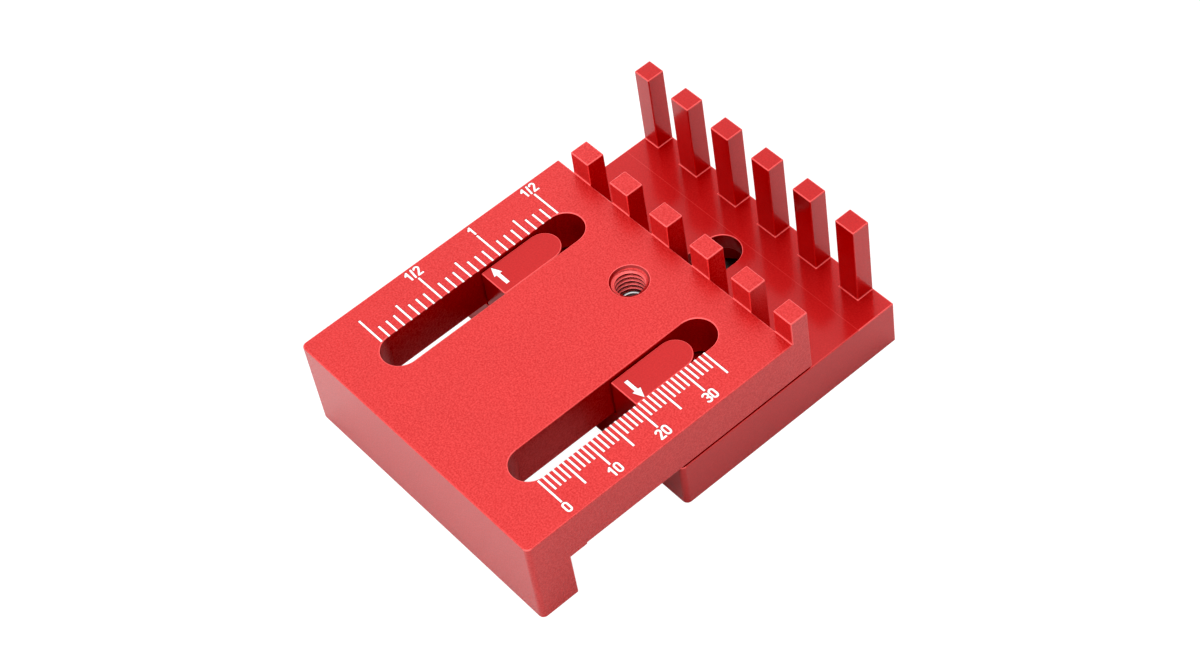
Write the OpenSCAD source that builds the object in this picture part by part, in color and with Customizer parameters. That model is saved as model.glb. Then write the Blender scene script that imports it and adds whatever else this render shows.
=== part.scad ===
// Woodworking depth gauge: a lipped plate with two engraved scales over a slider with a comb of pegs.
// The arrows on the slider's bosses read how far the jaw is open, and one screw from below clamps the pair.
// Sizes are millimetres. +Y runs from the jaw lip to the pegs, +X is the metric side and +Z is up.
// The origin is in the middle of the gauge as it is set here, on the plane that it rests on.

/* [Overall] */
// Width of the body and of the slider
gauge_w = 58.4; // [48:0.2:72]
// Gap between the body and the slider while the lock screw is loose
slide_gap = 0.5; // [0.2:0.05:0.5]
// Travel left between the slider as it is set here and its rear stop
travel_left = 5.2; // [0.5:0.1:16]
// Radius of the upright corners at the front of both plates
corner_r = 1; // [0.2:0.1:2]

/* [Body] */
// Length of the body's plate, without its teeth
plate_l = 56; // [46:0.5:70]
// Thickness of the body's plate
plate_t = 8.7; // [7:0.1:11]
// Thickness of the jaw lip under the plate's front edge
lip_t = 7.5; // [5:0.1:9]
// Length of the low land behind the lip
land_l = 3.5; // [1:0.1:4]
// How far the land drops below the plate's underside
land_drop = 0.35; // [0.1:0.05:0.5]
// Distance from the front face to the zeros of both scales
zero_inset = 10; // [9.5:0.1:12]

/* [Slots] */
// Width of the two slots in the body
slot_w = 7; // [5:0.1:9]
// Plate left between a slot and the side, which carries the scale
scale_band = 9.2; // [9.2:0.1:11]
// How far the slots run in front of the scale zeros
slot_lead = 2.2; // [0.5:0.1:3]
// Plate left between the slots and the plate's rear edge
slot_rear_wall = 5.9; // [4:0.1:7.5]

/* [Comb] */
// Distance from one tooth to the next
comb_pitch = 10; // [8:0.5:14]
// Width of a tooth
tooth_w = 4.5; // [3:0.1:5.5]
// Depth of a tooth behind the plate's rear edge
tooth_d = 3.6; // [2.5:0.1:6]
// Height of a tooth above the plate's top
tooth_h = 5.05; // [3:0.05:8]
// Distance from the left side to the first tooth
tooth_inset = 4.2; // [3.6:0.1:4.6]
// Gap on each side of a peg when it nests between two teeth
comb_gap = 0.6; // [0.3:0.1:0.8]
// Depth of a peg, along the slider
peg_d = 3.5; // [2.5:0.1:6]
// Height of a peg above the slider's top
peg_h = 16.7; // [14:0.1:24]

/* [Slider] */
// Length of the slider from its front face to the pegs
slider_l = 43.75; // [36:0.25:54]
// Thickness of the slider
slider_t = 9.65; // [8:0.05:12]
// Length of the two bosses that run in the body's slots
boss_l = 14.1; // [11:0.1:18]
// Gap on each side of a boss in its slot
boss_gap = 0.3; // [0.1:0.05:0.5]
// How far the boss tops lie below the body's top once the screw clamps the pair
boss_low = 0.05; // [0:0.05:1]
// Distance from the pegs to the middle of the screw slot's rear end
screw_slot_inset = 8.4; // [7.5:0.1:10]
// Slot left in front of the screw at the slider's rear stop
screw_slot_spare = 1; // [0.5:0.1:1.5]

/* [Lock screw] */
// Thread diameter of the screw
screw_d = 6; // [5:0.1:7.5]
// Thread pitch of the screw
thread_pitch = 1; // [0.9:0.05:1.2]
// Depth of the thread form
thread_depth = 0.45; // [0.3:0.05:0.5]
// Gap between the screw's thread and the body's, measured along a radius
thread_gap = 0.1; // [0.05:0.01:0.12]
// How far the screw reaches up into the body's thread
thread_reach = 3.15; // [1.5:0.05:5.5]
// Distance from the plate's rear edge to the screw
screw_inset = 9.35; // [8:0.05:10]
// Diameter of the countersink at the top of the threaded hole
lead_in_d = 6.7; // [6.2:0.1:8]
// Diameter of the screw's head
head_d = 10.5; // [9:0.1:12]
// Height of the screw's head
head_h = 3.3; // [2.6:0.1:4]
// Diameter of the flat around the socket, at the bottom of the domed head
head_flat_d = 5.6; // [5:0.1:7]
// Size of the hexagon socket across its flats
socket_af = 4; // [3:0.5:5]
// Depth of the hexagon socket
socket_depth = 2.1; // [1.5:0.1:2.4]
// How far the head lies above the slider's underside
head_recess = 2; // [0.6:0.1:2.2]
// Outer diameter of the washer
washer_d = 12; // [11:0.1:14.4]
// Thickness of the washer
washer_t = 1; // [0.8:0.1:2]
// Gap all round the screw in the screw slot
screw_play = 0.5; // [0.2:0.05:0.8]
// Gap all round the screw in the washer
washer_hole_gap = 0.2; // [0.1:0.05:0.4]
// Gap all round the washer in its recess
washer_play = 0.4; // [0.2:0.05:0.8]

/* [Marks] */
// Width of an engraved line
mark_w = 0.37; // [0.25:0.01:0.5]
// Depth of an engraved line
mark_depth = 0.15; // [0.1:0.01:0.3]
// How far the paint lies below the engraved face
mark_sunk = 0.04; // [0.02:0.01:0.08]
// Gap between the paint and the wall of its line
mark_gap = 0.02; // [0.01:0.01:0.04]
// Last millimetre of the metric scale
metric_last = 35; // [20:1:35]
// Length of a millimetre tick
metric_short = 3.3; // [2.5:0.1:3.5]
// Length of a five millimetre tick
metric_long = 5.8; // [4:0.1:5.8]
// Last sixteenth of the inch scale
inch_last = 24; // [16:1:24]
// Length of a sixteenth tick
inch_short = 2.95; // [2.5:0.05:3.2]
// Length of a quarter inch tick
inch_middle = 4.35; // [3.3:0.05:4.6]
// Length of a half inch tick
inch_long = 6.25; // [4.7:0.05:6.3]
// Height of a numeral
glyph_h = 2.2; // [1.6:0.1:2.3]
// Width of a numeral
glyph_w = 1.2; // [1:0.05:1.4]
// Width of the cell that holds a one
one_w = 1.05; // [0.8:0.05:1.2]
// Width of the stroke in a fraction
slash_w = 0.6; // [0.4:0.05:0.9]
// Gap between two numerals
glyph_gap = 0.1; // [0.05:0.05:0.2]
// Gap between a numeral and the side that it stands nearest, on the metric scale
metric_glyph_inset = 1; // [0.6:0.1:1.1]
// Gap between a numeral and the side that it stands nearest, on the inch scale
inch_glyph_inset = 0.5; // [0.4:0.1:0.6]
// Distance from a boss's front face to the middle of its arrow
arrow_inset = 1.95; // [1.2:0.05:4]
// Length of an arrow
arrow_l = 4.6; // [3.5:0.1:4.8]
// Length of an arrow's head
arrow_head_l = 2; // [1.2:0.1:2.4]
// Width of an arrow's head
arrow_head_w = 1.7; // [1.2:0.1:2]
// Width of an arrow's shaft
arrow_shaft_w = 0.7; // [0.4:0.05:1]
// Gap between an arrow's tip and the edge of its boss
arrow_tip_gap = 0.25; // [0.15:0.05:0.4]

/* [Hidden] */

// Rounds are drawn with this many sides
$fn = 72;
// Cuts run this far past the faces that they break through
cut = 1;
// Joined shapes reach this far into each other
bite = 1;
// Least width of a tooth or peg that the side of the gauge cuts short
least_tooth = 1;
// Length of one sixteenth of an inch
sixteenth = 25.4 / 16;

// Part of the slide gap that is left when the screw clamps the pair
lift_spare = 0.02;

// Heights, from the resting plane
underside_z = slider_t + slide_gap;
top_z = underside_z + plate_t;
boss_top_z = slider_t + plate_t - boss_low;

// Stations along Y, first counted from the body's front face
slot_rear = plate_l - slot_rear_wall;
slider_at = slot_rear - travel_left - boss_l;
gauge_l = slider_at + slider_l + peg_d;
front_y = -gauge_l / 2;
rear_y = front_y + plate_l;
zero_y = front_y + zero_inset;
slot_front_y = zero_y - slot_lead;
slot_rear_y = front_y + slot_rear;
screw_y = rear_y - screw_inset;
slider_y = front_y + slider_at;
peg_y = slider_y + slider_l;

// Stations along X
side_x = gauge_w / 2;
scale_x = side_x - scale_band;
slot_x = scale_x - slot_w / 2;
boss_w = slot_w - 2 * boss_gap;
peg_w = comb_pitch - tooth_w - 2 * comb_gap;
tooth_count = floor((gauge_w - tooth_inset - least_tooth) / comb_pitch) + 1;

// The screw slot lets the slider reach its rear stop, with some slot to spare
screw_slot_rear_y = peg_y - screw_slot_inset;
screw_slot_front_y = slider_y + slot_rear_wall + boss_l - screw_inset - screw_slot_spare;
screw_slot_w = screw_d + 2 * screw_play;
recess_w = washer_d + 2 * washer_play;
recess_h = head_recess + head_h + washer_t;

// The screw, from its head at the bottom to its tip inside the body
under_head_z = head_recess + head_h;
tip_z = underside_z + thread_reach;
core_r = screw_d / 2 - thread_gap / 2 - thread_depth;
tip_chamfer = 0.5;
dish_r = 1.7;
dish_depth = 0.5;

// Thread form: each ridge is a ring with sloping flanks
crest_w = 0.06;
root_w = 0.5;
// The lead-in ends at the thread's crests, and the first ridge lies below it
lead_in_h = lead_in_d / 2 - (core_r + thread_gap);
lead_in_step = 0.2;
first_ridge_z = top_z - lead_in_h - root_w / 2 - lead_in_step;
// The screw's ridges lie low in the body's grooves, so that it can rise through the gap that it closes
ridge_drop = (slide_gap - lift_spare) / 2;

// The x where tooth i starts, counted from the left side
function tooth_start(i) = -side_x + tooth_inset + i * comb_pitch;

// The x where peg i starts: each peg stands in the middle of the gap to the left of tooth i
function peg_start(i) = tooth_start(i) - comb_gap - peg_w;

// A flat plate outline that starts at y, with its two front corners rounded
module plate_outline(y, l) {
    translate([-side_x, y + corner_r]) square([gauge_w, l - corner_r]);
    translate([-side_x + corner_r, y]) square([gauge_w - 2 * corner_r, 2 * corner_r]);
    for (s = [-1, 1]) translate([s * (side_x - corner_r), y + corner_r]) circle(corner_r);
}

// A slot outline with round ends that reaches from y0 to y1
module slot_outline(w, y0, y1) {
    translate([-w / 2, y0 + w / 2]) square([w, y1 - y0 - w]);
    for (y = [y0 + w / 2, y1 - w / 2]) translate([0, y]) circle(w / 2);
}

// A block between two x stations, cut short by the sides of the gauge
module clipped_block(x, w, y, d, z, h) {
    x0 = max(x, -side_x);
    x1 = min(x + w, side_x);
    translate([x0, y, z]) cube([x1 - x0, d, h]);
}

// One ridge of a thread as two profile steps: from the root up to the crest and back
function ridge(z, root_r, crest_r) = [
    [root_r, z - root_w / 2], [crest_r, z - crest_w / 2], [crest_r, z + crest_w / 2], [root_r, z + root_w / 2]
];

// The hole in the body: thread ridges point inwards, and the top has a lead-in
module threaded_hole() {
    crest_r = core_r + thread_gap;
    root_r = crest_r + thread_depth;
    last = floor((first_ridge_z - underside_z - root_w / 2) / thread_pitch);
    points = [for (i = [last:-1:0]) each ridge(first_ridge_z - i * thread_pitch, root_r, crest_r)];
    translate([0, screw_y, 0]) rotate_extrude() polygon(concat(
        [[0, underside_z - cut], [root_r, underside_z - cut]],
        points,
        [[crest_r, top_z - lead_in_h], [lead_in_d / 2, top_z], [lead_in_d / 2, top_z + cut], [0, top_z + cut]]
    ));
}

// A straight stroke with round ends between two points
module stroke(p, q, w) {
    a = atan2(q[1] - p[1], q[0] - p[0]);
    polygon([
        for (t = [-90:30:90]) q + w / 2 * [cos(a + t), sin(a + t)],
        for (t = [90:30:270]) p + w / 2 * [cos(a + t), sin(a + t)]
    ]);
}

// An arc stroke with round ends about a centre, from angle a0 on to the larger angle a1
module arc_stroke(c, r, a0, a1, w) {
    steps = ceil((a1 - a0) / 22.5);
    polygon([
        for (i = [0:steps]) let (a = a0 + (a1 - a0) * i / steps) c + (r + w / 2) * [cos(a), sin(a)],
        for (t = [30:30:150]) c + r * [cos(a1), sin(a1)] + w / 2 * [cos(a1 + t), sin(a1 + t)],
        for (i = [steps:-1:0]) let (a = a0 + (a1 - a0) * i / steps) c + (r - w / 2) * [cos(a), sin(a)],
        for (t = [210:30:330]) c + r * [cos(a0), sin(a0)] + w / 2 * [cos(a0 + t), sin(a0 + t)]
    ]);
}

// The glyphs stand on the x axis and start at the y axis. grow widens their strokes on every side.
module zero_glyph(grow) {
    r = glyph_w / 2;
    difference() {
        stroke([r, r], [r, glyph_h - r], glyph_w + 2 * grow);
        stroke([r, r], [r, glyph_h - r], glyph_w - 2 * mark_w - 2 * grow);
    }
}

module one_glyph(grow) {
    w = mark_w + 2 * grow;
    top = [one_w * 0.57, glyph_h - mark_w / 2];
    stroke([top[0], mark_w / 2], top, w);
    stroke(top - [0.45, 0.5], top, w);
}

module two_glyph(grow) {
    w = mark_w + 2 * grow;
    r = (glyph_w - mark_w) / 2;
    c = [glyph_w / 2, glyph_h - glyph_w / 2];
    foot = [mark_w / 2, mark_w / 2];
    arc_stroke(c, r, -35, 165, w);
    stroke(foot, c + r * [cos(-35), sin(-35)], w);
    stroke(foot, [glyph_w - mark_w / 2, mark_w / 2], w);
}

module three_glyph(grow) {
    w = mark_w + 2 * grow;
    r = (glyph_h - mark_w) / 4;
    arc_stroke([glyph_w / 2, glyph_h - mark_w / 2 - r], r, -90, 150, w);
    arc_stroke([glyph_w / 2, mark_w / 2 + r], r, -150, 90, w);
}

module slash_glyph(grow) {
    w = mark_w + 2 * grow;
    stroke([mark_w / 2, mark_w / 2], [slash_w - mark_w / 2, glyph_h - mark_w / 2], w);
}

module glyph(name, grow) {
    if (name == "0") zero_glyph(grow);
    if (name == "1") one_glyph(grow);
    if (name == "2") two_glyph(grow);
    if (name == "3") three_glyph(grow);
    if (name == "/") slash_glyph(grow);
}

function glyph_cell(name) = name == "1" ? one_w : name == "/" ? slash_w : glyph_w;

// Where glyph i of a label starts, and the label's whole length when i is its last glyph plus one
function glyph_start(label, i) = i == 0 ? 0 : glyph_start(label, i - 1) + glyph_cell(label[i - 1]) + glyph_gap;
function label_l(label) = glyph_start(label, len(label)) - glyph_gap;

// A label that reads along +Y with its foot at x, centred on y
module label_marks(label, x, y, grow) {
    translate([x, y - label_l(label) / 2]) rotate(90)
        for (i = [0:len(label) - 1]) translate([glyph_start(label, i), 0]) glyph(label[i], grow);
}

// One tick of length l at the y of a reading. A slot_side above 0 runs the tick on into the slot.
module tick(side, reading, l, grow, slot_side) {
    x0 = side > 0 ? scale_x - slot_side : -scale_x - l - grow;
    translate([x0, zero_y + reading - mark_w / 2 - grow]) square([l + grow + slot_side, mark_w + 2 * grow]);
}

function metric_tick_l(i) = i % 5 == 0 ? metric_long : metric_short;
function inch_tick_l(i) = i % 8 == 0 ? inch_long : i % 4 == 0 ? inch_middle : inch_short;

module metric_tick_marks(grow, slot_side) {
    for (i = [0:metric_last]) tick(1, i, metric_tick_l(i), grow, slot_side);
}

module inch_tick_marks(grow, slot_side) {
    for (i = [0:inch_last]) tick(-1, i * sixteenth, inch_tick_l(i), grow, slot_side);
}

module metric_numeral_marks(grow) {
    for (i = [0:floor(metric_last / 10)])
        label_marks(i == 0 ? "0" : str(i, "0"), side_x - metric_glyph_inset, zero_y + 10 * i, grow);
}

module inch_numeral_marks(grow) {
    x = -side_x + inch_glyph_inset + glyph_h;
    for (i = [1:floor(inch_last / 8)])
        label_marks(i % 2 == 0 ? str(i / 2) : "1/2", x, zero_y + 8 * i * sixteenth, grow);
}

// An arrow from the middle of a boss to its outer edge. side is 1 for the metric boss, -1 for the inch boss.
module arrow_mark(side, grow) {
    tip = boss_w / 2 - arrow_tip_gap;
    neck = tip - arrow_head_l;
    shaft = arrow_shaft_w / 2 + grow;
    head = arrow_head_w / 2 + grow;
    translate([side * slot_x, slider_y + arrow_inset]) scale([side, 1]) polygon([
        [tip - arrow_l - grow, -shaft], [neck - grow, -shaft], [neck - grow, -head], [tip + grow, 0],
        [neck - grow, head], [neck - grow, shaft], [tip - arrow_l - grow, shaft]
    ]);
}

// Engraving cuts marks into a face at z, and paint fills them up to a little below it
module engrave(z) {
    translate([0, 0, z - mark_depth]) linear_extrude(mark_depth + cut) children();
}

module paint(z) {
    color("white") translate([0, 0, z - mark_depth]) linear_extrude(mark_depth - mark_sunk) children();
}

// Side view of the plate, the land and the lip, drawn as y and z and pulled out across the width
module body_blank() {
    land_y = front_y + lip_t;
    land_z = underside_z - land_drop;
    translate([-side_x, 0, 0]) rotate([90, 0, 90]) linear_extrude(gauge_w) polygon([
        [front_y, 0], [land_y, 0], [land_y, land_z], [land_y + land_l, land_z],
        [land_y + land_l, underside_z], [rear_y, underside_z], [rear_y, top_z], [front_y, top_z]
    ]);
}

// Side view of a tooth with its root in the plate, pulled out over the tooth's width
module tooth(i) {
    x0 = tooth_start(i);
    x1 = min(x0 + tooth_w, side_x);
    translate([x0, 0, 0]) rotate([90, 0, 90]) linear_extrude(x1 - x0) polygon([
        [rear_y - bite, underside_z], [rear_y + tooth_d, underside_z], [rear_y + tooth_d, top_z + tooth_h],
        [rear_y, top_z + tooth_h], [rear_y, top_z], [rear_y - bite, top_z]
    ]);
}

module body() {
    color("crimson") difference() {
        union() {
            intersection() {
                body_blank();
                linear_extrude(top_z) plate_outline(front_y, plate_l);
            }
            for (i = [0:tooth_count - 1]) tooth(i);
        }
        for (s = [-1, 1]) translate([s * slot_x, 0, underside_z - cut])
            linear_extrude(plate_t + 2 * cut) slot_outline(slot_w, slot_front_y, slot_rear_y);
        threaded_hole();
        engrave(top_z) {
            metric_tick_marks(mark_gap, 0.05);
            inch_tick_marks(mark_gap, 0.05);
            metric_numeral_marks(mark_gap);
            inch_numeral_marks(mark_gap);
        }
    }
}

// A boss has a flat front, flush with the slider's, and a round rear end
module boss(side) {
    translate([side * slot_x, 0, slider_t - bite]) linear_extrude(boss_top_z - slider_t + bite) {
        translate([-boss_w / 2, slider_y]) square([boss_w, boss_l - boss_w / 2]);
        translate([0, slider_y + boss_l - boss_w / 2]) circle(boss_w / 2);
    }
}

module slider() {
    color("firebrick") difference() {
        union() {
            linear_extrude(slider_t) plate_outline(slider_y, slider_l + peg_d);
            for (s = [-1, 1]) boss(s);
            for (i = [0:tooth_count - 1])
                clipped_block(peg_start(i), peg_w, peg_y, peg_d, slider_t - bite, peg_h + bite);
        }
        translate([0, 0, -cut]) linear_extrude(slider_t + 2 * cut) slot_outline(
            screw_slot_w, screw_slot_front_y - screw_slot_w / 2, screw_slot_rear_y + screw_slot_w / 2);
        translate([0, 0, -cut]) linear_extrude(recess_h + cut) slot_outline(
            recess_w, screw_slot_front_y - recess_w / 2, screw_slot_rear_y + recess_w / 2);
        engrave(boss_top_z) for (s = [-1, 1]) arrow_mark(s, mark_gap);
    }
}

// The threaded shank, turned from one profile, with a chamfered tip
module shank() {
    crest_r = core_r + thread_depth;
    groove_z = first_ridge_z - thread_pitch / 2 - ridge_drop;
    low = ceil((groove_z - tip_z + tip_chamfer + root_w / 2) / thread_pitch);
    high = floor((groove_z - under_head_z - root_w / 2) / thread_pitch);
    points = [for (i = [high:-1:low]) each ridge(groove_z - i * thread_pitch, core_r, crest_r)];
    rotate_extrude() polygon(concat(
        [[0, under_head_z - bite], [core_r, under_head_z - bite]],
        points,
        [[core_r, tip_z - tip_chamfer], [core_r - tip_chamfer / 2, tip_z],
         [dish_r, tip_z], [0, tip_z - dish_depth]]
    ));
}

// A domed head that hangs below the washer, with its socket open downwards. The dome's ball passes through
// the rim of the flat and through the head's widest circle.
module screw_head() {
    dome_z = ((head_d * head_d - head_flat_d * head_flat_d) / 4 + head_h * head_h) / (2 * head_h);
    translate([0, 0, head_recess]) difference() {
        intersection() {
            cylinder(d = head_d, h = head_h);
            translate([0, 0, dome_z]) sphere(norm([head_flat_d / 2, dome_z]));
        }
        translate([0, 0, -cut]) cylinder(d = socket_af / cos(30), h = socket_depth + cut, $fn = 6);
    }
}

module lock_screw() {
    color("silver") translate([0, screw_y, 0]) {
        shank();
        screw_head();
    }
}

module washer() {
    color("gainsboro") translate([0, screw_y, under_head_z]) difference() {
        cylinder(d = washer_d, h = washer_t);
        translate([0, 0, -cut]) cylinder(r = screw_d / 2 + washer_hole_gap, h = washer_t + 2 * cut);
    }
}

module metric_ticks() {
    paint(top_z) metric_tick_marks(0, 0);
}

module metric_numerals() {
    paint(top_z) metric_numeral_marks(0);
}

module inch_ticks() {
    paint(top_z) inch_tick_marks(0, 0);
}

module inch_numerals() {
    paint(top_z) inch_numeral_marks(0);
}

module slider_arrows() {
    paint(boss_top_z) for (s = [-1, 1]) arrow_mark(s, 0);
}

body();
slider();
lock_screw();
washer();
metric_ticks();
metric_numerals();
inch_ticks();
inch_numerals();
slider_arrows();
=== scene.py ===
"""Looks of a woodworking depth gauge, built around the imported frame."""
import logging
import math
from dataclasses import dataclass
from enum import Enum
from typing import Callable, Iterable, Sequence

import bmesh
import bpy
from bmesh.types import BMEdge, BMesh, BMFace, BMVert
from mathutils import Euler, Matrix, Vector


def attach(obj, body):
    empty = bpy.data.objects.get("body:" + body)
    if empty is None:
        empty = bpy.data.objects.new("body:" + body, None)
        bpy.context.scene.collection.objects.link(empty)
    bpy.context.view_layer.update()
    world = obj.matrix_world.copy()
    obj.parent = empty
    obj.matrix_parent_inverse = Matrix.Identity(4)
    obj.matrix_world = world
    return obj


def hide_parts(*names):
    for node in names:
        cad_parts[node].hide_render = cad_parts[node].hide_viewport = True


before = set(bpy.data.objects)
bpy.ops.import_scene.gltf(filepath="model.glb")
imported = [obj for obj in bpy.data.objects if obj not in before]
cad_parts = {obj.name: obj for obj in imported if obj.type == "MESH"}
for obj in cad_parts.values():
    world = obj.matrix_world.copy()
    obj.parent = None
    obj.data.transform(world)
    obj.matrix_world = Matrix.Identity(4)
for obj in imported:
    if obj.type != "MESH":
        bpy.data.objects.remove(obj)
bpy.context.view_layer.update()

LOG = logging.getLogger("depth_gauge")

MM = 0.001                      # the meshes are shaped in millimetres and end in metres
WEAR_AND_LIGHT_LAYER = "edge_wear_and_painted_light"       # face attribute: 1 on the broken edges (thinner dye and painted highlight), painted highlight and shade on the tapped faces, -1 (painted shade) in a thread's roots
COPLANAR = math.radians(0.3)    # faces that meet at less than this are one flat face
ROUND_STEP = math.radians(35)   # edges that turn less than this belong to a round
TURNED_STEP = math.radians(12)  # the same on turned steel, which keeps its crisp corners
ROUND_STEPS = 48                # steps of a full turn on slots, hole, screw and washer
BREAK_SEGMENTS = 3              # segments across a broken edge
CORNER_SEGMENTS = 8             # segments round a plate's corner
TOLERANCE = 0.01                # mm, places nearer than this are the same
MERGE = 1e-4                    # mm, vertices nearer than this become one
ON_PLANE = 1e-5                 # mm, vertices nearer than this to a cut line are on it
CLEAR = 1.0                     # mm, how far a cutter starts outside, or a test stays off a face
AXIS_ALIGNED = 0.99             # cosine above which a face looks along an axis
UPRIGHT = 0.5                   # a face whose normal rises less than this is a wall
ONE_WALL = 0.9999               # cosine above which two wall faces belong to one wall
NOISE_SPAN = (0.33, 0.67)       # nearly all values of a noise texture lie between these
LONG_EDGE = 12.0                # mm, from here on an edge is part of a plate's outline
LONG_EDGE_WEAR_AND_HIGHLIGHT = 0.35           # what such an edge shows of a short one's paler red (thinner dye and painted highlight)


class Axis(Enum):
    """The axes of the shared frame that stations are given along."""

    X = (1.0, 0.0, 0.0)
    Y = (0.0, 1.0, 0.0)


class Combine(Enum):
    """Ways to combine two solids."""

    CUT = "DIFFERENCE"
    JOIN = "UNION"
    TRIM = "INTERSECT"


class Slot(Enum):
    """The record's material slots, by name; nothing in this script uses them."""

    ANODISED = "red_anodised"
    STEEL = "zinc_steel"


# Mesh tools, in millimetres


def block(low: Sequence[float], high: Sequence[float]) -> BMesh:
    """Starts a mesh from a cube that is stretched between two corners.

    Args:
        low: The lowest corner.
        high: The highest corner.

    Returns:
        The new mesh.
    """
    bm = bmesh.new()
    lo, hi = Vector(low), Vector(high)
    bmesh.ops.create_cube(bm, size=1.0, matrix=Matrix.LocRotScale((lo + hi) / 2, None, hi - lo))
    return bm


def split_at(bm: BMesh, axis: Axis, stations: Iterable[float]) -> None:
    """Draws cut lines round a solid at stations along an axis.

    Args:
        bm: The solid.
        axis: The axis that the cut planes face along.
        stations: Where the planes stand.
    """
    normal = Vector(axis.value)
    for station in stations:
        bmesh.ops.bisect_plane(bm, geom=bm.verts[:] + bm.edges[:] + bm.faces[:],
                               dist=ON_PLANE, plane_co=normal * station, plane_no=normal)


def facing(bm: BMesh, direction: Sequence[float], where: Callable[[Vector], bool]) -> list[BMFace]:
    """Picks flat faces by the way they face and by where their middle lies.

    Args:
        bm: The solid.
        direction: The direction that the faces look in.
        where: Says whether a face with this middle is wanted.

    Returns:
        The faces picked.
    """
    bm.normal_update()
    look = Vector(direction)
    return [f for f in bm.faces
            if f.normal.dot(look) > AXIS_ALIGNED and where(f.calc_center_median())]


def pull(bm: BMesh, faces: Sequence[BMFace], offset: Sequence[float], close: bool = False) -> None:
    """Extrudes a region of faces along an offset.

    Args:
        bm: The mesh.
        faces: The region.
        offset: Where the region goes.
        close: Whether the faces also stay where they are, to close a lone outline's other end.
    """
    out = bmesh.ops.extrude_face_region(bm, geom=list(faces))
    moved = [g for g in out["geom"] if isinstance(g, BMVert)]
    bmesh.ops.translate(bm, verts=moved, vec=Vector(offset))
    if not close:
        bmesh.ops.delete(bm, geom=list(faces), context="FACES")


def flatten(bm: BMesh) -> None:
    """Merges the pieces of each flat face into one face.

    Args:
        bm: The solid.
    """
    bmesh.ops.remove_doubles(bm, verts=bm.verts, dist=MERGE)
    bmesh.ops.dissolve_limit(bm, angle_limit=COPLANAR, verts=bm.verts, edges=bm.edges)
    bmesh.ops.recalc_face_normals(bm, faces=bm.faces)


def round_front_corners(bm: BMesh, front_y: float, side_x: float, radius: float) -> None:
    """Rounds the two upright corners at the front of a plate.

    Args:
        bm: The plate.
        front_y: Where its front face lies.
        side_x: How far its sides stand from the middle.
        radius: The radius of the round.
    """
    corners = [e for e in bm.edges if all(
        abs(v.co.y - front_y) < TOLERANCE and abs(abs(v.co.x) - side_x) < TOLERANCE
        for v in e.verts) and abs(e.verts[0].co.z - e.verts[1].co.z) > CLEAR]
    bmesh.ops.bevel(bm, geom=corners, offset=radius, offset_type="OFFSET",
                    segments=CORNER_SEGMENTS, profile=0.5, affect="EDGES", material=-1)


def prism(bm: BMesh, outline: Sequence[BMEdge], height: float) -> BMesh:
    """Fills a closed outline and pulls it up into a solid.

    Args:
        bm: The mesh that holds the outline and nothing else.
        outline: The edges of the outline.
        height: How far the face is pulled up.

    Returns:
        The same mesh, as a closed solid.
    """
    filled = bmesh.ops.contextual_create(bm, geom=list(outline))
    pull(bm, filled["faces"], (0, 0, height), close=True)
    bmesh.ops.recalc_face_normals(bm, faces=bm.faces)
    return bm


def capsule(width: float, x: float, y0: float, y1: float, z0: float, z1: float,
            round_front: bool = True) -> BMesh:
    """Makes a block with a round rear end and, if wanted, a round front end.

    Args:
        width: The width along X.
        x: The middle along X.
        y0: The front end.
        y1: The rear end.
        z0: The bottom.
        z1: The top.
        round_front: Whether the front end is round, as on a slot.

    Returns:
        The new solid.
    """
    bm = bmesh.new()
    r = width / 2
    ends = []
    for side, y in ((1, y1 - r), (-1, y0 + r if round_front else y0)):
        start = bm.verts.new((x + side * r, y, z0))
        if side < 0 and not round_front:
            ends += [start, bm.verts.new((x + r, y, z0))]
            bm.edges.new(ends[-2:])
            continue
        bmesh.ops.spin(bm, geom=[start], cent=(x, y, z0), axis=(0, 0, 1), angle=math.pi,
                       steps=ROUND_STEPS // 2)
        bm.verts.index_update()
        far = Vector((x - side * r, y, z0))
        ends += [start, min(bm.verts, key=lambda v: (v.co - far).length)]
    bm.edges.new((ends[1], ends[2]))
    bm.edges.new((ends[3], ends[0]))
    return prism(bm, bm.edges[:], z1 - z0)


def turned(profile: Sequence[tuple[float, float]], y: float) -> BMesh:
    """Turns a profile of radius and height about the upright line at x 0.

    Args:
        profile: Points of radius and height, from the axis round to the axis or back to the start.
        y: Where the line stands along Y.

    Returns:
        The closed solid.
    """
    bm = bmesh.new()
    verts = [bm.verts.new((r, y, z)) for r, z in profile]
    closed = profile[0][0] > 0
    pairs = list(zip(verts, verts[1:])) + ([(verts[-1], verts[0])] if closed else [])
    for pair in pairs:
        bm.edges.new(pair)
    bmesh.ops.spin(bm, geom=bm.verts[:] + bm.edges[:], cent=(0, y, 0), axis=(0, 0, 1),
                   angle=2 * math.pi, steps=ROUND_STEPS, use_merge=True)
    bmesh.ops.remove_doubles(bm, verts=bm.verts, dist=MERGE)
    bmesh.ops.recalc_face_normals(bm, faces=bm.faces)
    return bm


def combine(target: BMesh, tool: BMesh, how: Combine) -> BMesh:
    """Cuts a solid with another, or joins or trims them. Both input meshes are used up.

    Args:
        target: The solid that is worked on.
        tool: The other solid.
        how: What is done.

    Returns:
        The result as a new mesh.
    """
    pair = []
    for bm in (target, tool):
        mesh = bpy.data.meshes.new("in_work")
        bm.to_mesh(mesh)
        bm.free()
        obj = bpy.data.objects.new("in_work", mesh)
        bpy.context.scene.collection.objects.link(obj)
        pair.append(obj)
    work = pair[0].modifiers.new("combine", "BOOLEAN")
    work.operation, work.solver, work.object = how.value, "MANIFOLD", pair[1]
    made = pair[0].evaluated_get(bpy.context.evaluated_depsgraph_get())
    result = bmesh.new()
    result.from_mesh(made.data)
    for obj in pair:
        bpy.data.meshes.remove(obj.data)
    return result


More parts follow.
